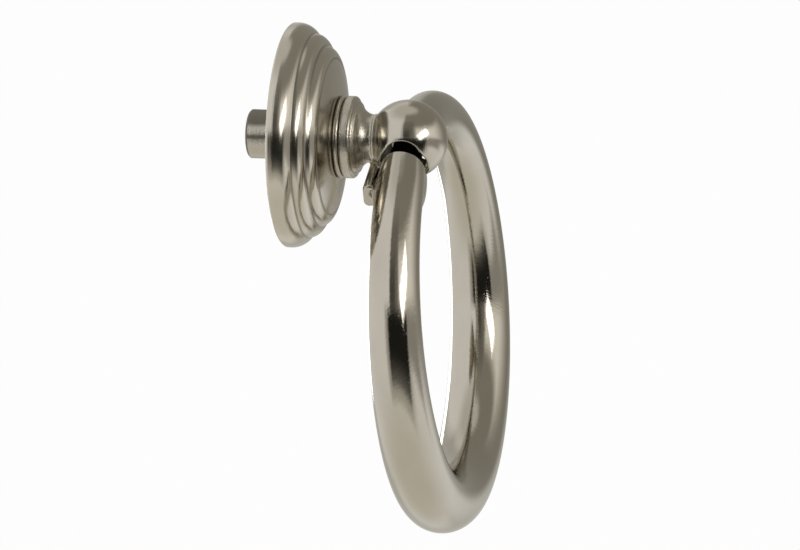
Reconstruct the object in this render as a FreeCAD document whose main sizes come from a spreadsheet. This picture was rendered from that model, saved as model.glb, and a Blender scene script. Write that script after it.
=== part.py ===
import FreeCAD, Part
import Sketcher
import math
import os
import re

# Ring pull handle for a cabinet drawer: a reeded rose, a turned post whose ball head is pierced
# for the ring, and a tapered ring that hangs in the ball.
# Frame: the origin is the middle of the rose's flat back, on the post's axis. -Y points out of
# the drawer front, +Z is up and X runs along the hole that the ring hangs in. Millimetres.

SIZES = {
    # Rose, as heights above its back and radii at each of its three rounded bands.
    "rose_radius": 16.0,
    "rose_edge_break": 0.25,
    "rim_wall": 1.0,
    "band_one_foot": 3.2,
    "band_one_inner": 14.55,
    "band_one_round": 2.7,
    "band_two_outer": 14.5,
    "band_two_foot": 4.85,
    "band_two_inner": 12.95,
    "band_two_round": 1.8,
    "band_three_outer": 12.8,
    "band_three_foot": 6.2,
    "band_three_inner": 11.1,
    "band_three_round": 1.8,
    "band_groove": 0.2,
    "crown_round": 24.0,
    "rose_height": 7.15,
    "seat_radius": 6.3,
    # Post, as distances out from the rose's back along its axis.
    "spigot_radius": 3.5,
    "spigot_reach": 5.95,
    "spigot_break": 0.3,
    "spigot_clearance": 0.05,
    "thread_core_radius": 1.65,
    "thread_depth": 9.0,
    "thread_mouth": 0.4,
    "foot_bead_radius": 5.55,
    "foot_bead_width": 0.8,
    "foot_bead_round": 0.42,
    "foot_groove_radius": 5.35,
    "foot_groove_width": 0.15,
    "collar_radius": 5.85,
    "collar_width": 1.55,
    "collar_back_round": 0.25,
    "collar_front_round": 0.5,
    "shoulder_radius": 4.9,
    "shoulder_rise": 0.45,
    "neck_radius": 3.35,
    "neck_out": 11.9,
    "neck_round": 2.2,
    "neck_bead_width": 0.35,
    "neck_bead_round": 0.22,
    "ball_radius": 5.6,
    "ball_out": 17.0,
    # The eye across the ball, and the tail and the stop bar under it.
    "eye_half_width": 3.45,
    "eye_middle_drop": 0.25,
    "eye_floor_drop": 5.0,
    "eye_corner": 2.4,
    "eye_reach": 6.6,
    "tail_half_width": 4.0,
    "tail_root_drop": 4.2,
    "tail_front": 1.8,
    "tail_back": 2.3,
    "tail_drop": 12.2,
    "tail_tip_round": 1.7,
    "tail_corner": 1.4,
    "stop_half_length": 8.4,
    "stop_top_drop": 2.5,
    "stop_height": 3.5,
    "stop_thickness": 1.75,
    "stop_corner": 0.75,
    "stop_break": 0.25,
    "stop_gap": 0.3,
    # Ring: middle line, sections and the waist that turns in the eye.
    "ring_radius": 28.5,
    "ring_section": 4.14,
    "ring_taper": 0.193,
    "waist_section": 3.1,
    "waist_spread": 17.0,
    "hinge_drop": 1.3,
    "hang_angle": 5.2,
}
RING_SECTIONS = 48
NEAR = 0.01

doc = FreeCAD.newDocument("ring_pull_handle")


def make_sheet():
    """Spreadsheet that holds every driving size under its own name."""
    sheet = doc.addObject("Spreadsheet::Sheet", "Sizes")
    for row, (name, value) in enumerate(SIZES.items(), start=1):
        sheet.set("A%d" % row, name)
        sheet.set("B%d" % row, str(value))
        sheet.setAlias("B%d" % row, name)
    doc.recompute()
    return sheet


make_sheet()


def bound(expression):
    """Expression text with every size name pointed at the sheet."""
    return re.sub("[a-z_]+", lambda word: ("Sizes." if word[0] in SIZES else "") + word[0], expression)


def value(expression):
    """What an expression of size names comes to."""
    total = doc.getObject("Sizes").evalExpression(bound(expression))
    return float(total)


def new_body(label):
    body = doc.addObject("PartDesign::Body", label)
    body.Label = label
    return body


def plane_of(body, role):
    for feature in body.Origin.OriginFeatures:
        if feature.Role == role:
            return feature
    raise ValueError("no plane " + role)


def new_sketch(body, name, role):
    sketch = body.newObject("Sketcher::SketchObject", name)
    sketch.AttachmentSupport = [(plane_of(body, role), "")]
    sketch.MapMode = "FlatFace"
    return sketch


def arc_geometry(start, end, radius, turn):
    """Arc between two points; turn is +1 where its centre lies to the left of the way along."""
    a, b = FreeCAD.Vector(*start, 0), FreeCAD.Vector(*end, 0)
    chord = b - a
    rise = math.sqrt(max(radius ** 2 - (chord.Length / 2) ** 2, 0.0))
    left = FreeCAD.Vector(-chord.y, chord.x, 0).normalize()
    centre = (a + b) / 2 + left * rise * turn
    first = math.atan2(a.y - centre.y, a.x - centre.x)
    last = math.atan2(b.y - centre.y, b.x - centre.x)
    circle = Part.Circle(centre, FreeCAD.Vector(0, 0, 1), radius)
    if turn > 0:
        return Part.ArcOfCircle(circle, first, last), 1, 2
    return Part.ArcOfCircle(circle, last, first), 2, 1


def draw_outline(sketch, steps):
    """Closed outline. Each step is (x, y) for a line, or (x, y, radius, turn) for an arc, to there."""
    corners = [(value(step[0]), value(step[1])) for step in steps]
    ends = []
    for number, step in enumerate(steps):
        start, end = corners[number - 1], corners[number]
        if len(step) == 2:
            line = Part.LineSegment(FreeCAD.Vector(*start, 0), FreeCAD.Vector(*end, 0))
            ends.append((sketch.addGeometry(line, False), 1, 2))
        else:
            arc, first, last = arc_geometry(start, end, value(step[2]), step[3])
            ends.append((sketch.addGeometry(arc, False), first, last))
    for number in range(len(steps)):
        before, after = ends[number], ends[(number + 1) % len(steps)]
        sketch.addConstraint(Sketcher.Constraint("Coincident", before[0], before[2], after[0], after[1]))
    for number, step in enumerate(steps):
        geometry, _, last = ends[number]
        for kind, place in (("DistanceX", 0), ("DistanceY", 1)):
            size = corners[number][place]
            index = sketch.addConstraint(Sketcher.Constraint(kind, -1, 1, geometry, last, size))
            sketch.setExpression("Constraints[%d]" % index, bound(step[place]))
        if len(step) > 2:
            size = value(step[2])
            index = sketch.addConstraint(Sketcher.Constraint("Radius", geometry, size))
            sketch.setExpression("Constraints[%d]" % index, bound(step[2]))
    doc.recompute()


def turn(body, sketch, name):
    """Full turn of an outline drawn along the post's axis, which is the sketch's own x axis."""
    feature = body.newObject("PartDesign::Revolution", name)
    feature.Profile = sketch
    feature.ReferenceAxis = (sketch, ["H_Axis"])
    feature.Angle = 360.0
    doc.recompute()
    return feature


def build_rose():
    """Rose: three rounded bands that step in to a low crown, bored for the post's spigot."""
    body = new_body("rose")
    sketch = new_sketch(body, "rose_outline", "YZ_Plane")
    bore = "spigot_radius + spigot_clearance"
    draw_outline(sketch, [
        ("0", bore),
        ("0", "rose_radius - rose_edge_break"),
        ("-rose_edge_break", "rose_radius"),
        ("-rim_wall", "rose_radius"),
        ("-band_one_foot", "band_one_inner", "band_one_round", 1),
        ("-band_one_foot - band_groove", "band_two_outer"),
        ("-band_two_foot", "band_two_inner", "band_two_round", 1),
        ("-band_two_foot - band_groove", "band_three_outer"),
        ("-band_three_foot", "band_three_inner", "band_three_round", 1),
        ("-rose_height", "seat_radius", "crown_round", 1),
        ("-rose_height", bore),
    ])
    turn(body, sketch, "rose_turned")
    return body


def build_post():
    """Post: tapped spigot, beaded foot, collar, scotia neck and the ball head with its eye."""
    body = new_body("post")
    sketch = new_sketch(body, "post_outline", "YZ_Plane")
    collar_back = "rose_height + foot_bead_width + foot_groove_width"
    collar_front = collar_back + " + collar_width"
    ball_back = "ball_out - sqrt(ball_radius ^ 2 - neck_radius ^ 2)"
    drill_end = "thread_depth - spigot_reach"
    draw_outline(sketch, [
        ("spigot_reach", "thread_core_radius + thread_mouth"),
        ("spigot_reach", "spigot_radius - spigot_break"),
        ("spigot_reach - spigot_break", "spigot_radius"),
        ("-rose_height", "spigot_radius"),
        ("-rose_height", "foot_bead_radius"),
        ("-rose_height - foot_bead_width", "foot_bead_radius", "foot_bead_round", 1),
        ("-rose_height - foot_bead_width", "foot_groove_radius"),
        ("-(" + collar_back + ")", "foot_groove_radius"),
        ("-(" + collar_back + ")", "collar_radius - collar_back_round"),
        ("-(" + collar_back + ") - collar_back_round", "collar_radius", "collar_back_round", 1),
        ("-(" + collar_front + ") + collar_front_round", "collar_radius"),
        ("-(" + collar_front + ")", "collar_radius - collar_front_round", "collar_front_round", 1),
        ("-(" + collar_front + ") - shoulder_rise", "shoulder_radius"),
        ("-neck_out", "neck_radius", "neck_round", -1),
        ("-(" + ball_back + ") + neck_bead_width", "neck_radius"),
        ("-(" + ball_back + ")", "neck_radius", "neck_bead_round", 1),
        ("-ball_out - ball_radius", "0", "ball_radius", 1),
        ("-(" + drill_end + ") - thread_core_radius", "0"),
        ("-(" + drill_end + ")", "thread_core_radius"),
        ("spigot_reach - thread_mouth", "thread_core_radius"),
    ])
    turn(body, sketch, "post_turned")
    add_tail(body)
    add_stop_bar(body)
    cut_eye(body)
    return body


def pad_across(body, sketch, name, half_length, kind="PartDesign::Pad"):
    """Pad or pocket that runs the same way to both sides of the handle's middle plane."""
    feature = body.newObject(kind, name)
    feature.Profile = sketch
    feature.Midplane = True
    feature.Length = 2 * value(half_length)
    feature.setExpression("Length", bound("2 * (" + half_length + ")"))
    doc.recompute()
    return feature


def add_tail(body):
    """Rounded tail that hangs from the ball, under the eye, a little way into the ring."""
    sketch = new_sketch(body, "tail_outline", "YZ_Plane")
    draw_outline(sketch, [
        ("-ball_out + tail_back", "-tail_root_drop"),
        ("-ball_out - tail_front", "-tail_root_drop"),
        ("-ball_out - tail_front", "-tail_drop + tail_tip_round"),
        ("-ball_out - tail_front + tail_tip_round", "-tail_drop", "tail_tip_round", 1),
        ("-ball_out + tail_back - tail_tip_round", "-tail_drop"),
        ("-ball_out + tail_back", "-tail_drop + tail_tip_round", "tail_tip_round", 1),
    ])
    pad = pad_across(body, sketch, "tail", "tail_half_width")
    round_edges(body, pad, "tail_rounded", "tail_corner", is_tail_side)


def is_tail_side(edge):
    """Edges round the tail's two flat sides, all but the ones against the ball."""
    middle = edge.CenterOfMass
    on_side = abs(abs(middle.x) - value("tail_half_width")) < NEAR
    return on_side and middle.z < -value("tail_root_drop") - NEAR


def round_edges(body, base, name, radius, chosen):
    """Fillet on the edges of the last feature that a test picks out."""
    names = ["Edge%d" % (i + 1) for i, edge in enumerate(base.Shape.Edges) if chosen(edge)]
    fillet = body.newObject("PartDesign::Fillet", name)
    fillet.Base = (base, names)
    fillet.Radius = value(radius)
    fillet.setExpression("Radius", bound(radius))
    doc.recompute()
    return fillet


def section_at(cosine):
    """Ring's half thickness where its middle line has turned by an angle of the given cosine."""
    plain = "ring_section * (1 - ring_taper * (" + cosine + "))"
    waist = "(ring_section * (1 - ring_taper) - waist_section)"
    fade = "exp(-1 * ((1 - (" + cosine + ")) / (1 - cos(waist_spread))) ^ 2)"
    return plain + " - " + waist + " * " + fade


STOP_COSINE = "sqrt(1 - (stop_half_length / ring_radius) ^ 2)"
STOP_FRONT = "-ball_out + (" + section_at(STOP_COSINE) + ") + stop_gap"


def add_stop_bar(body):
    """Bar across the underside of the neck that the hanging ring's limbs come to rest against."""
    sketch = new_sketch(body, "stop_outline", "YZ_Plane")
    top, low = "-stop_top_drop", "-stop_top_drop - stop_height"
    back = STOP_FRONT + " + stop_thickness"
    draw_outline(sketch, [
        (STOP_FRONT, top),
        (STOP_FRONT, low + " + stop_corner"),
        (STOP_FRONT + " + stop_corner", low, "stop_corner", 1),
        (back + " - stop_corner", low),
        (back, low + " + stop_corner", "stop_corner", 1),
        (back, top),
    ])
    pad = pad_across(body, sketch, "stop_bar", "stop_half_length")
    round_edges(body, pad, "stop_rounded", "stop_break", is_stop_end)


def is_stop_end(edge):
    """Edges of the stop bar's two end faces."""
    return abs(abs(edge.CenterOfMass.x) - value("stop_half_length")) < NEAR


def cut_eye(body):
    """Eye through the ball: a round top and straight sides down to a floor with round corners."""
    sketch = new_sketch(body, "eye_outline", "YZ_Plane")
    front, back = "-ball_out - eye_half_width", "-ball_out + eye_half_width"
    draw_outline(sketch, [
        (back, "-eye_middle_drop"),
        ("-ball_out", "eye_half_width - eye_middle_drop", "eye_half_width", 1),
        (front, "-eye_middle_drop", "eye_half_width", 1),
        (front, "-eye_floor_drop + eye_corner"),
        (front + " + eye_corner", "-eye_floor_drop", "eye_corner", 1),
        (back + " - eye_corner", "-eye_floor_drop"),
        (back, "-eye_floor_drop + eye_corner", "eye_corner", 1),
    ])
    pad_across(body, sketch, "eye", "eye_reach", "PartDesign::Pocket")


def build_ring():
    """Ring: one closed loop of round sections, thick at the bottom, with a waist in the eye."""
    sections = []
    for number in range(RING_SECTIONS):
        angle = 360.0 * number / RING_SECTIONS
        circle = doc.addObject("Part::Circle", "ring_section_%d" % number)
        circle.setExpression("Radius", bound(section_at("cos(%s)" % angle)))
        turned = FreeCAD.Rotation(FreeCAD.Vector(0, 1, 0), 90 + angle)
        circle.Placement = FreeCAD.Placement(FreeCAD.Vector(), turned)
        circle.setExpression("Placement.Base.x", bound("ring_radius * sin(%s)" % angle))
        circle.setExpression("Placement.Base.z", bound("-ring_radius * (1 - cos(%s))" % angle))
        sections.append(circle)
    doc.recompute()
    ring = doc.addObject("Part::Loft", "ring")
    ring.Label = "ring"
    ring.Sections = sections
    ring.Solid = True
    ring.Closed = True
    hung = FreeCAD.Rotation(FreeCAD.Vector(1, 0, 0), -value("hang_angle"))
    ring.Placement = FreeCAD.Placement(FreeCAD.Vector(0, 0, 0), hung)
    ring.setExpression("Placement.Base.y", bound("-ball_out"))
    ring.setExpression("Placement.Base.z", bound("-hinge_drop"))
    doc.recompute()
    return ring


def write_parts(parts):
    """Check the whole document, then write each sub-part under its own name."""
    for thing in doc.Objects:
        if "Invalid" in thing.State or "Error" in thing.State:
            raise RuntimeError("%s is %s" % (thing.Name, thing.State))
    for part in parts:
        if part.Shape.isNull() or not part.Shape.isValid():
            raise RuntimeError(part.Label + " has no valid shape")
    os.makedirs("parts", exist_ok=True)
    for part in parts:
        part.Shape.exportStep("parts/%s.step" % part.Label)
        print(part.Label, len(part.Shape.Solids), round(part.Shape.Volume, 1), part.Shape.BoundBox)


write_parts([build_rose(), build_post(), build_ring()])
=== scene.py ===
import math

import bpy
import numpy as np
from mathutils import Matrix, Vector


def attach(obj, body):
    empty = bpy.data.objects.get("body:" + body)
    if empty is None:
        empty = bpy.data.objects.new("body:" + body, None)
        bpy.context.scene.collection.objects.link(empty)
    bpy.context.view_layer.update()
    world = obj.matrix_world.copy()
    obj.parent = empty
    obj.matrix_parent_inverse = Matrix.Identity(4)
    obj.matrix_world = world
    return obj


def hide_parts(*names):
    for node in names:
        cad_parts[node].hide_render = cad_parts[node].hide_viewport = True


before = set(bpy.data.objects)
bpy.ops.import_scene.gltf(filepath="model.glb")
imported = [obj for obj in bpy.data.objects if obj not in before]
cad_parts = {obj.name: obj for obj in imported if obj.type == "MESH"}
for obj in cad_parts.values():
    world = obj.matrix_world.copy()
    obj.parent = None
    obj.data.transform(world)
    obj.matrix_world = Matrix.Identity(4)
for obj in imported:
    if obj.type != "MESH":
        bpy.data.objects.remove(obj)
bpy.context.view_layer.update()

# Ring pull handle in satin nickel: a rose in three rounded bands, a turned post with a pierced
# ball head, and a tapered ring that hangs in the ball.
# The frame's origin is the middle of the rose's flat back. -Y points out of the drawer front,
# +Z is up and X runs along the eye. The object's lengths are in millimetres and are turned into
# metres where its meshes are made; the studio's are in metres.
MM = 0.001

# Rose, as (height above its back, radius). A third number is the radius of the arc that leads to
# that point, less than nothing where the arc is hollow.
ROSE_BORE = 3.55
ROSE_OUTLINE = [
    (0.0, ROSE_BORE),
    (0.0, 15.75),
    (0.25, 16.0),
    (1.0, 16.0),
    (3.2, 14.55, 2.7),
    (3.4, 14.5),
    (4.85, 12.95, 1.8),
    (5.05, 12.8),
    (6.2, 11.1, 1.8),
    (7.15, 6.3, 24.0),
    (7.15, ROSE_BORE),
]

# Post behind the neck: the tapped spigot, the beaded foot and the collar, as the rose's outline is.
SHANK_OUTLINE = [
    (4.7, 0.02),
    (3.05, 1.65),
    (-5.55, 1.65),
    (-5.95, 2.05),
    (-5.95, 3.2),
    (-5.65, 3.5),
    (7.15, 3.5),
    (7.15, 5.55),
    (7.95, 5.55, 0.42),
    (7.95, 5.35),
    (8.1, 5.35),
    (8.1, 5.6),
    (8.35, 5.85, 0.25),
    (9.15, 5.85),
    (9.65, 5.35, 0.5),
    (9.65, 0.02),
]
# Neck, as the rose's outline is, from inside the collar to inside the ball.
NECK_OUTLINE = [
    (8.5, 5.35),
    (9.65, 5.35),
    (10.1, 4.9),
    (11.9, 3.35, -2.2),
    (12.16, 3.35),
    (12.51, 3.35, 0.22),
    (17.0, 3.35),
]

# How an outline becomes rows of points: the steps of an arc, the even spacing that the wear is
# worked out at, the wear of the corners, and the bend and length after which a new row comes.
ARC_STEPS = 24
OUTLINE_SPACING = 0.02
EDGE_WEAR = 0.05
ROW_BEND = math.radians(5.0)
ROSE_ROW = 0.2
SHANK_ROW = 0.8
ROSE_AROUND = 200
SHANK_AROUND = 160

# Head: its start inside the collar, the ball, and where the neck ends short of the ball's middle.
COLLAR_FRONT = 9.65
HEAD_INSIDE_COLLAR = 0.3
BALL_OUT = 17.0
BALL_RADIUS = 5.6
NECK_SHORT = 2.0
# Fillets where the neck, the tail and the stop bar run into the ball.
NECK_FILLET = 0.3
TAIL_FILLET = 0.8
STOP_FILLET = 0.6
# Eye across the ball: its round top, the wider part that the ring lies in, its floor and corners.
EYE_TOP_RADIUS = 2.45
EYE_TOP_HEIGHT = 0.25
EYE_WIDE_RADIUS = 3.28
EYE_WIDE_HEIGHT = -1.3
EYE_FLOOR_DROP = 5.0
EYE_CORNER = 2.9
EYE_LIP = 0.4
# Tail, as a box by its middle and half size: its corners as seen from the front, the rounding
# across its edges, and how much its faces fall away from their middle, by square millimetre.
TAIL_MIDDLE = (0.0, -16.75, -7.6)
TAIL_HALF = (4.0, 2.2, 4.6)
TAIL_FRONT_CORNER = 3.2
TAIL_ROUND = 1.8
TAIL_DOME = 0.035
# Stop bar, as a box too, with its long corners and the broken edge of its ends.
STOP_MIDDLE = (0.0, -12.534, -4.25)
STOP_HALF = (8.4, 0.875, 1.75)
STOP_CORNER = 0.75
STOP_BREAK = 0.4
# Small punched mark in each end of the stop bar.
STOP_MARK = (8.4, -12.95, -3.75)
STOP_MARK_HALF = (0.35, 0.3, 0.55)
STOP_MARK_LIP = 0.1
# Half size of a form that goes on past the whole head.
PAST_HEAD = 9.0
# Corners of the space that the head's skin is looked for in, and the side of its cells.
HEAD_LOW = (-8.8, -22.9, -12.6)
HEAD_HIGH = (8.8, -9.1, 6.2)
HEAD_PITCH = 0.16

# Ring: its middle line, half its middle thickness, the share that it tapers by, and its waist.
RING_RADIUS = 28.5
RING_SECTION = 4.14
RING_TAPER = 0.193
WAIST_SECTION = 3.05
WAIST_SPREAD = math.radians(13.0)
# Where each limb steps down to the journal in the eye, by distance from the middle, and how far.
JOURNAL_END = 4.65
SHOULDER_START = 5.0
JOURNAL_STEP = 0.85
# How much higher each limb stands just outside the eye.
SHOULDER_RISE = 0.75
# Points along the ring and round its section, and how much the rows crowd towards the eye.
RING_ROWS = 440
RING_COLUMNS = 88
RING_CROWDING = 0.8
# Middle of the drawn ring at the eye, and the lean of the hanging ring away from the drawer front.
HINGE = Vector((0.0, -17.0, -1.3))
HANG_ANGLE = math.radians(5.2)

# Nickel: its colour, how much lighter it is on the rose, and its darkest and lightest clouds.
NICKEL = (0.487, 0.453, 0.386)
ROSE_TONE = 1.1
CLOUD_TONES = (0.93, 1.07)
CLOUD_SCALE = 170.0
# Roughness of each piece, and what the strokes, the painted shade and a rough skin change in it.
ROSE_GLOSS = 0.16
POST_GLOSS = 0.13
RING_GLOSS = 0.065
STROKE_ROUGHNESS = 0.12
PAINTED_SHADE_ROUGHNESS = 0.3
SKIN_ROUGHNESS = 0.14
# Height of the strokes, the pits and a rough skin's grit against each other, and their true depth.
STROKE_HEIGHT = 0.7
PIT_HEIGHT = 0.3
PIT_SCALE = 1500.0
PIT_STOPS = [(0.05, 0.0), (0.11, 1.0)]
GRIT_HEIGHT = 1.6
GRIT_SCALE = 4200.0
BUMP_STRENGTH = 0.9
BUMP_DEPTH = 0.000022
# Strokes to the millimetre, round and along a turned piece, and along and across the ring, where
# they lean a little.
TURNED_ROUND = 0.12
TURNED_ALONG = 3.0
RING_ALONG = 2.8
RING_ACROSS = 0.9
RING_LEAN = 0.8

# Grooves where shade is painted dark: between the rose's bands, round the foot and under the
# collar.
GROOVES = [(3.3, 14.52), (4.95, 12.87), (6.2, 11.1), (7.15, 5.75), (8.03, 5.38)]
GROOVE_WIDTH = 0.13
GROOVE_SHADE = 0.6
# Dark colour that is painted on as shade in the grooves, on the spigot, in the eye and on the
# ring's journal.
PAINTED_SHADE_COLOUR = (0.06, 0.055, 0.045, 1.0)
# Painted shade round the spigot, as (angle from its top, how dark it is painted there), the same to
# both
# sides. Its edge is ragged: its swing in degrees, its pace along the spigot and its start.
SPIGOT_SHADE = [
    (0, 0.7),
    (30, 0.75),
    (40, 0.05),
    (56, 0.0),
    (59, 0.7),
    (65, 0.7),
    (69, 0.0),
    (180, 0.0),
]
RAGGED_SWING = 2.0
RAGGED_PACE = 0.9
RAGGED_START = 0.6
# Where the painted shade starts behind the rose's back, and where the spigot's rim starts, which is
# painted dark all round.
SHADE_START = 0.1
SPIGOT_RIM = 5.6
RIM_SHADE = 0.75
# Painted shade on the wall of the eye: how near to the eye's own form, above which height, and
# where it ends towards the eye's mouths.
EYE_WALL = 0.1
EYE_SHADE_LOWEST = -3.0
EYE_SHADE_END = 4.9
EYE_SHADE_FADE = 0.4
# Where the painted shade on the ring's journal ends, by distance from the middle.
JOURNAL_SHADE_END = 4.85
JOURNAL_SHADE_FADE = 0.3
# Rough skin of the neck and the back of the ball: how far from the ball's back it ends. The ring
# is a little rough too, up to a distance from the middle.
HEAD_ROUGH_REACH = 1.6
HEAD_ROUGH_FADE = 1.2
RING_ROUGHNESS = 0.15
RING_ROUGH_END = 8.5
RING_ROUGH_FADE = 3.0

# Where the camera stands, what it looks at and how far it leans to the side.
CAMERA_PLACE = Vector((-311.54, -86.4, 210.42))
CAMERA_AIM = Vector((1.9, -13.56, -25.49))
CAMERA_ROLL = math.radians(5.237)
CAMERA_LENS = 121.59
# Height and half side of the floor, its colour, and how much of it is drawn as plain white.
FLOOR = -0.6
FLOOR_HALF = 3.0
FLOOR_COLOUR = (0.9, 0.9, 0.89, 1.0)
FLOOR_WHITE = 0.96
WHITE = (1.0, 1.0, 1.0, 1.0)
SOFT_LIGHT = (0.93, 0.91, 0.88, 1.0)
SOFT_STRENGTH = 0.7
# Lamps and screens stand round this point of the object. Their angles are taken from the line
# towards the camera, and grow to the right and up.
LIT_MIDDLE = Vector((0.0, -14.0, -12.0))
# Lamps, as azimuth, elevation, distance, (width, height) and power.
LAMPS = {
    "key_lamp": (43, 11, 0.45, (0.27, 0.12), 0.35),
    "back_lamp": (-154, -1, 0.4, (0.13, 0.13), 0.17),
}
# Screens, as azimuths, elevations, distance, shade, and how many degrees each edge fades over:
# left, right, bottom and top. An edge of 0 is hard. Nearer screens cover those behind them.
SCREENS = {
    "ceiling": ((-180, 180), (45, 90), 0.85, (0.72, 0.71, 0.68), (0, 0, 25, 0)),
    "floor_sheet": ((-180, 180), (-90, -20), 0.4, (0.78, 0.76, 0.69), (0, 0, 0, 50)),
    "back_sheet": ((132, 228), (-45, 62), 0.6, (0.58, 0.57, 0.535), (30, 22, 15, 25)),
    "grey_wall": ((-18, 182), (-12, 78), 0.56, (0.32, 0.307, 0.272), (3, 12, 12, 12)),
    "key_glow": ((13, 132), (-3, 38), 0.54, (1.1, 1.07, 1.02), (12, 60, 10, 18)),
    "camera_stand": ((-20, 24), (-12, 56), 0.52, (0.22, 0.21, 0.19), (2.5, 12, 6, 18)),
    "dark_stand": ((-17, 8), (-6, 34), 0.5, (0.1, 0.096, 0.086), (2.5, 8, 2, 22)),
    "low_screen": ((-46, 74), (-47, 3), 0.49, (0.42, 0.41, 0.38), (16, 30, 3, 6)),
    "right_screen": ((40, 118), (-22, 3), 0.48, (0.4, 0.39, 0.36), (20, 25, 10, 6)),
    "dark_screen": ((-28, 54), (-38, 1), 0.47, (0.02, 0.019, 0.017), (2, 4, 1.5, 1.5)),
}
SCREEN_COLUMNS = 40
SCREEN_ROWS = 24


class Socket:
    """A socket of a material's node tree that takes part in sums."""

    def __init__(self, tree, socket):
        self.tree, self.socket = tree, socket

    def sum(self, operation, first, second):
        return self.tree.node("ShaderNodeMath", {"operation": operation}, [first, second])

    def __add__(self, other):
        return self.sum("ADD", self, other)

    def __radd__(self, other):
        return self.sum("ADD", other, self)

    def __sub__(self, other):
        return self.sum("SUBTRACT", self, other)

    def __rsub__(self, other):
        return self.sum("SUBTRACT", other, self)

    def __mul__(self, other):
        return self.sum("MULTIPLY", self, other)

    def __rmul__(self, other):
        return self.sum("MULTIPLY", other, self)


class Tree:
    """A node tree that is filled by calls."""

    def __init__(self, owner):
        owner.use_nodes = True
        self.nodes, self.links = owner.node_tree.nodes, owner.node_tree.links
        self.nodes.clear()

    def node(self, kind, settings=None, inputs=None, output=0):
        """One node. Its settings are set first, then its sockets get values or links."""
        made = self.nodes.new(kind)
        for name, value in (settings or {}).items():
            if name == "stops":
                self.set_stops(made.color_ramp, value)
            else:
                setattr(made, name, value)
        pairs = inputs.items() if isinstance(inputs, dict) else enumerate(inputs or [])
        for name, value in pairs:
            if isinstance(value, Socket):
                self.links.new(value.socket, made.inputs[name])
            else:
                made.inputs[name].default_value = value
        return Socket(self, made.outputs[output]) if len(made.outputs) else None

    @staticmethod
    def set_stops(ramp, stops):
        """A ramp's stops, as (place, grey)."""
        for number, (place, grey) in enumerate(stops):
            stop = ramp.elements[number] if number < 2 else ramp.elements.new(place)
            stop.position = place
            stop.color = (grey, grey, grey, 1.0)

    def kept(self, name, output="Fac"):
        """What a mesh keeps for each of its points under a name."""
        return self.node("ShaderNodeAttribute", {"attribute_name": name}, output=output)

    def noise(self, place, scale, detail, **others):
        sockets = {"Vector": place, "Scale": scale, "Detail": detail, **others}
        return self.node("ShaderNodeTexNoise", {}, sockets)

    def mixed_colour(self, factor, first, second):
        sockets = {"Factor": factor, 6: first, 7: second}
        return self.node("ShaderNodeMix", {"data_type": "RGBA"}, sockets, 2)


def satin_nickel(name, tone, gloss):
    """Nickel plate, brushed along the piece's own grain, with fine pits and a few places of painted
    shade, which are rougher too.
    """
    material = bpy.data.materials.new(name)
    tree = Tree(material)
    place = tree.node("ShaderNodeTexCoord", output="Object")
    strokes = tree.noise(tree.kept("grain", "Vector"), 1.0, 6.0, Roughness=0.65)
    clouds = tree.noise(place, CLOUD_SCALE, 3.0)
    darker, lighter = [(*[c * share for c in tone], 1.0) for share in CLOUD_TONES]
    colour = tree.mixed_colour(clouds, darker, lighter)
    painted_shade, rough = tree.kept("painted_shade"), tree.kept("rough")
    # Painted shade: the colour turns dark where the mesh's painted shade number asks for it.
    colour = tree.mixed_colour(painted_shade, colour, PAINTED_SHADE_COLOUR)
    pits = tree.node("ShaderNodeTexVoronoi", {}, {"Vector": place, "Scale": PIT_SCALE}, "Distance")
    pit = tree.node("ShaderNodeValToRGB", {"stops": PIT_STOPS}, [pits])
    grit = tree.noise(place, GRIT_SCALE, 1.0)
    height = strokes * STROKE_HEIGHT + pit * PIT_HEIGHT + grit * rough * GRIT_HEIGHT
    relief = {"Strength": BUMP_STRENGTH, "Distance": BUMP_DEPTH, "Height": height}
    roughness = strokes * STROKE_ROUGHNESS + (gloss - STROKE_ROUGHNESS / 2)
    roughness = roughness + painted_shade * PAINTED_SHADE_ROUGHNESS + rough * SKIN_ROUGHNESS
    shader = tree.node(
        "ShaderNodeBsdfPrincipled",
        {},
        {
            "Base Color": colour,
            "Metallic": 1.0,
            "Roughness": roughness,
            "Normal": tree.node("ShaderNodeBump", {}, relief),
        },
    )
    tree.node("ShaderNodeOutputMaterial", {}, {"Surface": shader})
    return material


def arc(start, end, radius):
    """Points on the bulging arc from one outline point to the next."""
    a, b = np.array(start), np.array(end)
    chord = b - a
    length = np.hypot(*chord)
    left = np.array([-chord[1], chord[0]]) / length
    rise = math.sqrt(max(radius**2 - (length / 2) ** 2, 0.0))
    centre = (a + b) / 2 - left * rise * math.copysign(1, radius)
    first = math.atan2(*(a - centre)[::-1])
    last = math.atan2(*(b - centre)[::-1])
    sweep = (last - first + math.pi) % (2 * math.pi) - math.pi
    turns = first + sweep * np.linspace(0, 1, ARC_STEPS + 1)[1:]
    return [tuple(centre + abs(radius) * np.array([math.cos(t), math.sin(t)])) for t in turns]


def outline_points(steps):
    """Dense outline from steps of (height, radius) or (height, radius, arc radius)."""
    points = [steps[0][:2]]
    for step in steps[1:]:
        points += arc(points[-1], step[:2], step[2]) if len(step) > 2 else [step[:2]]
    return np.array(points)


def length_along(line):
    """Distance run at each point of a line."""
    return np.concatenate([[0.0], np.cumsum(np.hypot(*np.diff(line, axis=0).T))])


def worn(points, row):
    """The outline with its corners rounded off by about the wear, in rows no longer than asked."""
    along = length_along(points)
    even = np.arange(0.0, along[-1], OUTLINE_SPACING)
    line = np.stack([np.interp(even, along, points[:, side]) for side in (0, 1)], axis=1)
    reach = int(3 * EDGE_WEAR / OUTLINE_SPACING)
    weights = np.exp(-0.5 * (np.arange(-reach, reach + 1) * OUTLINE_SPACING / EDGE_WEAR) ** 2)
    weights /= weights.sum()
    padded = np.pad(line, ((reach, reach), (0, 0)), mode="edge")
    soft = np.stack([np.convolve(padded[:, side], weights, "valid") for side in (0, 1)], axis=1)
    soft[0], soft[-1] = points[0], points[-1]
    return thinned(soft, row)


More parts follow.
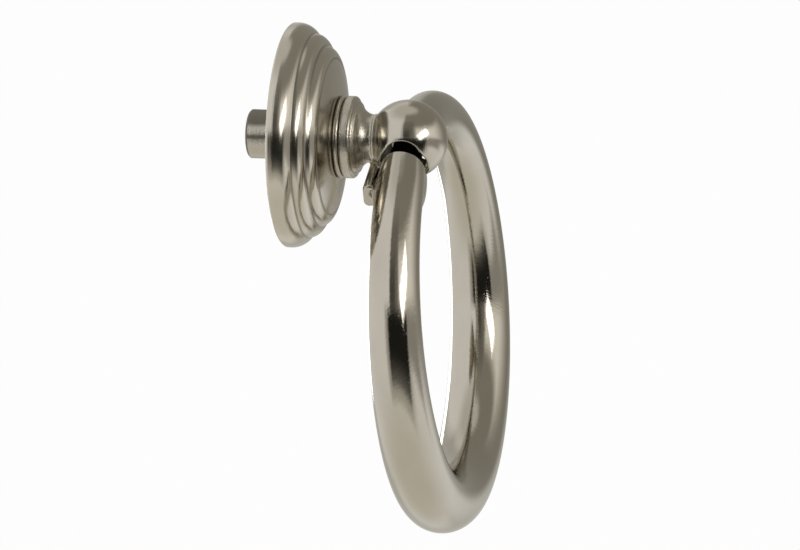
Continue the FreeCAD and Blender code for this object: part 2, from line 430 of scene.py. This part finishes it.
def thinned(line, row):
    """Keeps a point of the line where it has bent or run on enough since the last one."""
    ways = np.unwrap(np.arctan2(*np.diff(line, axis=0).T[::-1]))
    kept = [0]
    for number in range(1, len(line) - 1):
        far = np.hypot(*(line[number] - line[kept[-1]]))
        if abs(ways[number] - ways[kept[-1]]) > ROW_BEND or far > row:
            kept.append(number)
    return line[kept + [len(line) - 1]]


def put(name, data):
    """A new object in the scene."""
    thing = bpy.data.objects.new(name, data)
    bpy.context.scene.collection.objects.link(thing)
    return thing


def keep_number(mesh, name, values):
    """Keeps a number for each point of a mesh, for its material to use."""
    numbers = mesh.attributes.new(name, "FLOAT", "POINT")
    numbers.data.foreach_set("value", np.ravel(values).astype(np.float32))


def new_piece(name, points, faces, grain, painted_shade, rough, material, body, *nodes):
    """Smooth mesh in place of CAD nodes. Each point keeps its place in the grain, its painted shade
    and its rough skin.
    """
    mesh = bpy.data.meshes.new(name)
    mesh.from_pydata((np.asarray(points) * MM).tolist(), [], faces)
    grains = mesh.attributes.new("grain", "FLOAT_VECTOR", "POINT")
    grains.data.foreach_set("vector", np.ravel(grain).astype(np.float32))
    # The painted shade number darkens the colour where shade is painted.
    keep_number(mesh, "painted_shade", painted_shade)
    keep_number(mesh, "rough", rough)
    mesh.polygons.foreach_set("use_smooth", [True] * len(mesh.polygons))
    mesh.materials.append(material)
    piece = put(name, mesh)
    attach(piece, body)
    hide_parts(*nodes)


def grid_faces(rows, columns):
    """Faces of a grid of points that closes on itself both ways."""
    faces = []
    for row in range(rows):
        here, over = row * columns, (row + 1) % rows * columns
        for column in range(columns):
            beside = (column + 1) % columns
            faces.append((here + column, here + beside, over + beside, over + column))
    return faces


def turned(line, around):
    """Points and grain of an outline turned about the post's axis, brushed round it."""
    turns = np.linspace(0, 2 * math.pi, around, endpoint=False)
    height, radius = line[:, :1], line[:, 1:]
    x, z = radius * np.sin(turns), radius * np.cos(turns)
    y = np.broadcast_to(-height, x.shape)
    along = np.broadcast_to(length_along(line)[:, None], x.shape)
    grain = np.stack([TURNED_ROUND * x, TURNED_ROUND * z, TURNED_ALONG * along], axis=-1)
    return np.stack([x, y, z], axis=-1).reshape(-1, 3), grain.reshape(-1, 3)


def groove_shade(points):
    """How much shade is painted on a turned surface in and beside its grooves."""
    heights, radii = -points[:, 1], np.hypot(points[:, 0], points[:, 2])
    gaps = [np.hypot(heights - height, radii - radius) for height, radius in GROOVES]
    return GROOVE_SHADE * np.exp(-((np.min(gaps, axis=0) / GROOVE_WIDTH) ** 2))


def build_rose(material):
    """Round rose: three rounded bands, turned, with its bore."""
    line = worn(outline_points(ROSE_OUTLINE), ROSE_ROW)
    points, grain = turned(line, ROSE_AROUND)
    faces = grid_faces(len(line), ROSE_AROUND)
    # Shade is painted into the rose's grooves.
    painted_shade, rough = groove_shade(points), np.zeros(len(points))
    new_piece("rose_dressed", points, faces, grain, painted_shade, rough, material, "base", "rose")


def rounded_meeting(away, corner):
    """Distance from where several forms overlap, by the distance from each, with rounded edges."""
    away = away + corner
    outside = np.linalg.norm(np.maximum(away, 0.0), axis=-1)
    return outside + np.minimum(away.max(axis=-1), 0.0) - corner


def rounded_box(points, middle, half, corner):
    """Distance from a box with rounded edges, less than nothing inside."""
    return rounded_meeting(np.abs(points - np.array(middle)) - np.array(half), corner)


def melted(first, second, reach):
    """Both forms joined, with a fillet where they meet."""
    overlap = np.maximum(reach - np.abs(first - second), 0.0)
    return np.minimum(first, second) - overlap**2 / (4 * reach)


def softly_cut(form, cutter, reach):
    """The form less the cutter, with a rounded edge."""
    return -melted(-form, cutter, reach)


def neck_form(points):
    """Hollow neck from inside the collar to inside the ball, with the bead at its end."""
    outline = outline_points(NECK_OUTLINE)
    radius = np.hypot(points[..., 0], points[..., 2])
    turned_neck = radius - np.interp(-points[..., 1], outline[:, 0], outline[:, 1])
    return np.maximum(turned_neck, -points[..., 1] - BALL_OUT + NECK_SHORT)


def tail_form(points):
    """Tongue under the eye: round as seen from the front, and round again across its edges."""
    flat = points.copy()
    flat[..., 1] = TAIL_MIDDLE[1]
    half = (TAIL_HALF[0], PAST_HEAD, TAIL_HALF[2])
    outline = rounded_box(flat, TAIL_MIDDLE, half, TAIL_FRONT_CORNER)
    depth = np.abs(points[..., 1] - TAIL_MIDDLE[1]) - TAIL_HALF[1]
    depth = depth + TAIL_DOME * (points[..., 0] ** 2 + (points[..., 2] - TAIL_MIDDLE[2]) ** 2)
    return rounded_meeting(np.stack([outline, depth], axis=-1), TAIL_ROUND)


def stop_form(points):
    """Bar under the neck: its long corners are rounder than its ends, which carry a small mark."""
    flat = points.copy()
    flat[..., 0] = 0.0
    bar = rounded_box(flat, STOP_MIDDLE, STOP_HALF, STOP_CORNER)
    aside = np.abs(points[..., 0])
    bar = softly_cut(bar, STOP_HALF[0] - aside, STOP_BREAK)
    reach = np.stack([aside, points[..., 1], points[..., 2]], axis=-1) - np.array(STOP_MARK)
    mark = np.linalg.norm(reach / np.array(STOP_MARK_HALF), axis=-1) - 1
    return softly_cut(bar, mark * min(STOP_MARK_HALF), STOP_MARK_LIP)


def eye_form(points):
    """Eye all across the ball: a round top that widens to where the ring lies, and a floor."""
    side = np.abs(points[..., 1] + BALL_OUT)
    height = points[..., 2]
    drop = EYE_TOP_HEIGHT - EYE_WIDE_HEIGHT
    lean = (EYE_WIDE_RADIUS - EYE_TOP_RADIUS) / drop
    upright = math.sqrt(1 - lean**2)
    along = ((EYE_TOP_HEIGHT - height) * upright + side * lean) / (drop * upright)
    along = np.clip(along, 0.0, 1.0)
    round_part = np.hypot(side, height - EYE_TOP_HEIGHT + along * drop)
    round_part -= EYE_TOP_RADIUS + along * (EYE_WIDE_RADIUS - EYE_TOP_RADIUS)
    low = rounded_box(
        np.stack([side, height, 0.0 * side], axis=-1),
        (0.0, EYE_CORNER - EYE_FLOOR_DROP, 0.0),
        (EYE_WIDE_RADIUS, EYE_CORNER, PAST_HEAD),
        EYE_CORNER,
    )
    return np.minimum(round_part, low)


def head_form(points):
    """Neck, pierced ball, tail and stop bar as one distance, less than nothing inside."""
    ball = np.linalg.norm(points - np.array([0.0, -BALL_OUT, 0.0]), axis=-1) - BALL_RADIUS
    head = melted(neck_form(points), ball, NECK_FILLET)
    head = melted(head, tail_form(points), TAIL_FILLET)
    head = softly_cut(head, eye_form(points), EYE_LIP)
    head = melted(head, stop_form(points), STOP_FILLET)
    return np.maximum(head, COLLAR_FRONT - HEAD_INSIDE_COLLAR + points[..., 1])


def skin(form, low, high, pitch):
    """Closed mesh where a form comes to nothing: a point in each cell that the skin passes."""
    sides = [np.arange(a, b + pitch, pitch) for a, b in zip(low, high)]
    field = form(np.stack(np.meshgrid(*sides, indexing="ij"), axis=-1))
    inside = field < 0
    cells = np.array(inside.shape) - 1
    corners = sum(
        inside[i : i + cells[0], j : j + cells[1], k : k + cells[2]].astype(int)
        for i in (0, 1)
        for j in (0, 1)
        for k in (0, 1)
    )
    crossed = (corners > 0) & (corners < 8)
    number = np.full(crossed.shape, -1)
    number[crossed] = np.arange(crossed.sum())
    points = np.array(low) + (np.argwhere(crossed) + 0.5) * pitch
    faces = []
    for axis in range(3):
        ahead = np.diff(inside.astype(int), axis=axis)
        where = np.argwhere(ahead != 0)
        leaving = ahead[tuple(where.T)] < 0
        one, two = (axis + 1) % 3, (axis + 2) % 3
        around = []
        for step_one, step_two in ((1, 1), (0, 1), (0, 0), (1, 0)):
            cell = where.copy()
            cell[:, one] -= step_one
            cell[:, two] -= step_two
            around.append(number[tuple(cell.T)])
        quads = np.stack(around, axis=1)
        quads[~leaving] = quads[~leaving][:, ::-1]
        faces += quads.tolist()
    return settled(form, points), faces


def slope(form, points, step=0.01):
    """Which way a form grows at each point, and how fast."""
    ways = []
    for axis in range(3):
        shift = np.zeros(3)
        shift[axis] = step
        ways.append((form(points + shift) - form(points - shift)) / (2 * step))
    return np.stack(ways, axis=-1)


def settled(form, points, rounds=5, gentlest=0.2, farthest=0.15):
    """Points moved onto the skin, a little at a time."""
    for _ in range(rounds):
        way = slope(form, points)
        steepness = np.maximum((way**2).sum(axis=-1, keepdims=True), gentlest)
        points = points - np.clip(form(points)[:, None] * way / steepness, -farthest, farthest)
    return points


def spigot_shade(points):
    """How much shade is painted on the spigot at each point: dark from its top down, with a dark
    streak lower down.
    """
    across, behind, up = np.abs(points[:, 0]), points[:, 1], points[:, 2]
    turn = np.degrees(np.arctan2(across, up))
    ragged = turn + RAGGED_SWING * np.sin(RAGGED_PACE * behind + RAGGED_START)
    darkness = np.interp(ragged, *np.array(SPIGOT_SHADE).T)
    darkness = np.where(behind > SPIGOT_RIM, RIM_SHADE, darkness)
    return darkness * (behind > SHADE_START)


def build_post(material):
    """Post: the turned shank, and the head as one skin that starts inside its collar."""
    line = worn(outline_points(SHANK_OUTLINE), SHANK_ROW)
    shank, shank_grain = turned(line, SHANK_AROUND)
    faces = grid_faces(len(line), SHANK_AROUND)
    head, head_faces = skin(head_form, HEAD_LOW, HEAD_HIGH, HEAD_PITCH)
    faces += [tuple(corner + len(shank) for corner in face) for face in head_faces]
    head_grain = head * np.array([TURNED_ROUND, -TURNED_ALONG, TURNED_ROUND])
    points, grain = np.concatenate([shank, head]), np.concatenate([shank_grain, head_grain])
    # The wall inside the eye is painted dark as shade.
    on_wall = (np.abs(eye_form(head)) < EYE_WALL) & (head[:, 2] > EYE_SHADE_LOWEST)
    wall_shade = np.clip((EYE_SHADE_END - np.abs(head[:, 0])) / EYE_SHADE_FADE, 0, 1) * on_wall
    # Painted shade on the spigot, in the grooves and on the eye's wall.
    painted_shade = np.concatenate([np.maximum(spigot_shade(shank), groove_shade(shank)), wall_shade])
    out = -points[:, 1]
    rough = np.clip((BALL_OUT - BALL_RADIUS + HEAD_ROUGH_REACH - out) / HEAD_ROUGH_FADE, 0, 1)
    new_piece("post_dressed", points, faces, grain, painted_shade, rough, material, "base", "post")


def by_the_eye(turn):
    """1 where the ring passes the eye, and fading away from it."""
    return np.exp(-(((1 - np.cos(turn)) / (1 - math.cos(WAIST_SPREAD))) ** 2))


def ring_section(turn):
    """Half thickness of the ring at an angle round it from the eye."""
    cosine = np.cos(turn)
    waist = RING_SECTION * (1 - RING_TAPER) - WAIST_SECTION
    aside = np.where(cosine > 0, np.abs(RING_RADIUS * np.sin(turn)), RING_RADIUS)
    step = np.clip((SHOULDER_START - aside) / (SHOULDER_START - JOURNAL_END), 0.0, 1.0)
    step = step * step * (3 - 2 * step)
    tapered = RING_SECTION * (1 - RING_TAPER * cosine)
    return tapered - waist * by_the_eye(turn) - JOURNAL_STEP * step


def build_ring(material):
    """Tapered ring that hangs in the eye by its journal, with a raised shoulder to each side."""
    even = np.linspace(0, 2 * math.pi, RING_ROWS, endpoint=False)[:, None]
    turn = even - RING_CROWDING * np.sin(even)
    around = np.linspace(0, 2 * math.pi, RING_COLUMNS, endpoint=False)
    aside = np.abs(RING_RADIUS * np.sin(turn))
    outside = np.clip((aside - JOURNAL_END) / (SHOULDER_START - JOURNAL_END), 0, 1)
    rise = SHOULDER_RISE * outside * by_the_eye(turn)
    half = ring_section(turn)
    out = RING_RADIUS + half * np.cos(around) + rise * np.maximum(np.cos(around), 0)
    x, z = out * np.sin(turn), out * np.cos(turn) - RING_RADIUS
    y = half * np.sin(around)
    points = np.stack([x, y, z], axis=-1).reshape(-1, 3)
    hang = np.array(Matrix.Rotation(-HANG_ANGLE, 3, "X"))
    points = points @ hang.T + np.array(HINGE)
    slant = RING_RADIUS * turn + RING_LEAN * half * np.sin(around)
    across = [RING_ACROSS * half * np.cos(around), RING_ACROSS * half * np.sin(around)]
    grain = np.stack([RING_ALONG * slant, *across], axis=-1).reshape(-1, 3)
    upper = z > -RING_RADIUS
    # The journal inside the eye is painted dark as shade.
    painted_shade = np.clip((JOURNAL_SHADE_END - np.abs(x)) / JOURNAL_SHADE_FADE, 0, 1) * upper
    rough = np.clip((RING_ROUGH_END - np.abs(x)) / RING_ROUGH_FADE, 0, 1)
    rough = RING_ROUGHNESS * rough * upper
    faces = grid_faces(RING_ROWS, RING_COLUMNS)
    new_piece("ring_dressed", points, faces, grain, painted_shade, rough, material, "swinging_ring", "ring")


def place_camera():
    camera = put("camera", bpy.data.cameras.new("camera"))
    camera.data.lens = CAMERA_LENS
    camera.data.sensor_width = 36.0
    aim = (CAMERA_AIM - CAMERA_PLACE).to_track_quat("-Z", "Y").to_matrix().to_4x4()
    lean = Matrix.Rotation(-CAMERA_ROLL, 4, "Z")
    camera.matrix_world = Matrix.Translation(CAMERA_PLACE * MM) @ aim @ lean
    camera.data.clip_start = 0.01
    bpy.context.scene.camera = camera
    return camera


def studio_way(camera, azimuth, elevation):
    """Way from the lit middle, by angles from the line towards the camera."""
    across, rise = math.radians(azimuth), math.radians(elevation)
    right, ahead = math.cos(rise) * math.sin(across), math.cos(rise) * math.cos(across)
    return camera.matrix_world.to_3x3() @ Vector((right, math.sin(rise), ahead))


def hang_lamp(name, camera, azimuth, elevation, distance, size, power):
    """Flat lamp that faces the lit middle."""
    data = bpy.data.lights.new(name, "AREA")
    data.shape = "RECTANGLE"
    data.size, data.size_y = size
    data.energy = power
    lamp = put(name, data)
    way = studio_way(camera, azimuth, elevation)
    place = Matrix.Translation(LIT_MIDDLE * MM + way * distance)
    lamp.matrix_world = place @ (-way).to_track_quat("-Z", "Y").to_matrix().to_4x4()
    lamp.visible_camera = False


def hang_screen(name, camera, azimuths, elevations, distance, shade, fades):
    """Curved screen that only the metal mirrors, with edges that fade."""
    points, covers = [], []
    for row in range(SCREEN_ROWS + 1):
        for column in range(SCREEN_COLUMNS + 1):
            azimuth = azimuths[0] + (azimuths[1] - azimuths[0]) * column / SCREEN_COLUMNS
            elevation = elevations[0] + (elevations[1] - elevations[0]) * row / SCREEN_ROWS
            points.append(LIT_MIDDLE * MM + studio_way(camera, azimuth, elevation) * distance)
            sideways = (azimuth - azimuths[0], azimuths[1] - azimuth)
            upwards = (elevation - elevations[0], elevations[1] - elevation)
            reaches = zip(sideways + upwards, fades)
            cover = min(min(reach / fade, 1.0) if fade else 1.0 for reach, fade in reaches)
            covers.append(cover * cover * (3 - 2 * cover))
    faces = []
    for row in range(SCREEN_ROWS):
        for column in range(SCREEN_COLUMNS):
            low = row * (SCREEN_COLUMNS + 1) + column
            high = low + SCREEN_COLUMNS + 1
            faces.append((low, low + 1, high + 1, high))
    mesh = bpy.data.meshes.new(name)
    mesh.from_pydata(points, [], faces)
    keep_number(mesh, "cover", covers)
    material = bpy.data.materials.new(name)
    tree = Tree(material)
    light = tree.node("ShaderNodeEmission", {}, {"Color": (*shade, 1.0), "Strength": 1.0})
    clear = tree.node("ShaderNodeBsdfTransparent")
    shader = tree.node("ShaderNodeMixShader", {}, [tree.kept("cover"), clear, light])
    tree.node("ShaderNodeOutputMaterial", {}, {"Surface": shader})
    mesh.materials.append(material)
    screen = put(name, mesh)
    screen.visible_camera = False
    screen.visible_shadow = False
    screen.visible_diffuse = False


def seen_white(tree):
    """1 for rays from the camera, off metal or through glass, which see the plain background."""
    seen = tree.node("ShaderNodeLightPath", output="Is Camera Ray")
    mirrored = tree.node("ShaderNodeLightPath", output="Is Glossy Ray")
    through = tree.node("ShaderNodeLightPath", output="Is Transmission Ray")
    return seen + mirrored + through


def lay_floor():
    """Pale floor well below the ring; the camera and the metal see it white."""
    material = bpy.data.materials.new("floor")
    tree = Tree(material)
    matt = tree.node("ShaderNodeBsdfDiffuse", {}, {"Color": FLOOR_COLOUR})
    white = tree.node("ShaderNodeEmission", {}, {"Color": WHITE, "Strength": 1.0})
    shader = tree.node("ShaderNodeMixShader", {}, [seen_white(tree) * FLOOR_WHITE, matt, white])
    tree.node("ShaderNodeOutputMaterial", {}, {"Surface": shader})
    mesh = bpy.data.meshes.new("floor")
    signs = ((-1, -1), (1, -1), (1, 1), (-1, 1))
    corners = [(x * FLOOR_HALF, y * FLOOR_HALF, FLOOR) for x, y in signs]
    mesh.from_pydata(corners, [], [(0, 1, 2, 3)])
    mesh.materials.append(material)
    floor = put("floor", mesh)


def light_world():
    """Soft even light; the camera and the metal see plain white."""
    world = bpy.data.worlds.new("studio")
    bpy.context.scene.world = world
    tree = Tree(world)
    light = {"Color": SOFT_LIGHT, "Strength": SOFT_STRENGTH}
    soft = tree.node("ShaderNodeBackground", {}, light)
    white = tree.node("ShaderNodeBackground", {}, {"Color": WHITE, "Strength": 1.0})
    shader = tree.node("ShaderNodeMixShader", {}, [seen_white(tree), soft, white])
    tree.node("ShaderNodeOutputWorld", {}, {"Surface": shader})


build_rose(satin_nickel("rose_nickel", tuple(c * ROSE_TONE for c in NICKEL), ROSE_GLOSS))
build_post(satin_nickel("post_nickel", NICKEL, POST_GLOSS))
build_ring(satin_nickel("ring_nickel", NICKEL, RING_GLOSS))

camera = place_camera()
lay_floor()
light_world()
for name, facts in LAMPS.items():
    hang_lamp(name, camera, *facts)
for name, facts in SCREENS.items():
    hang_screen(name, camera, *facts)
bpy.context.scene.view_settings.view_transform = "Standard"
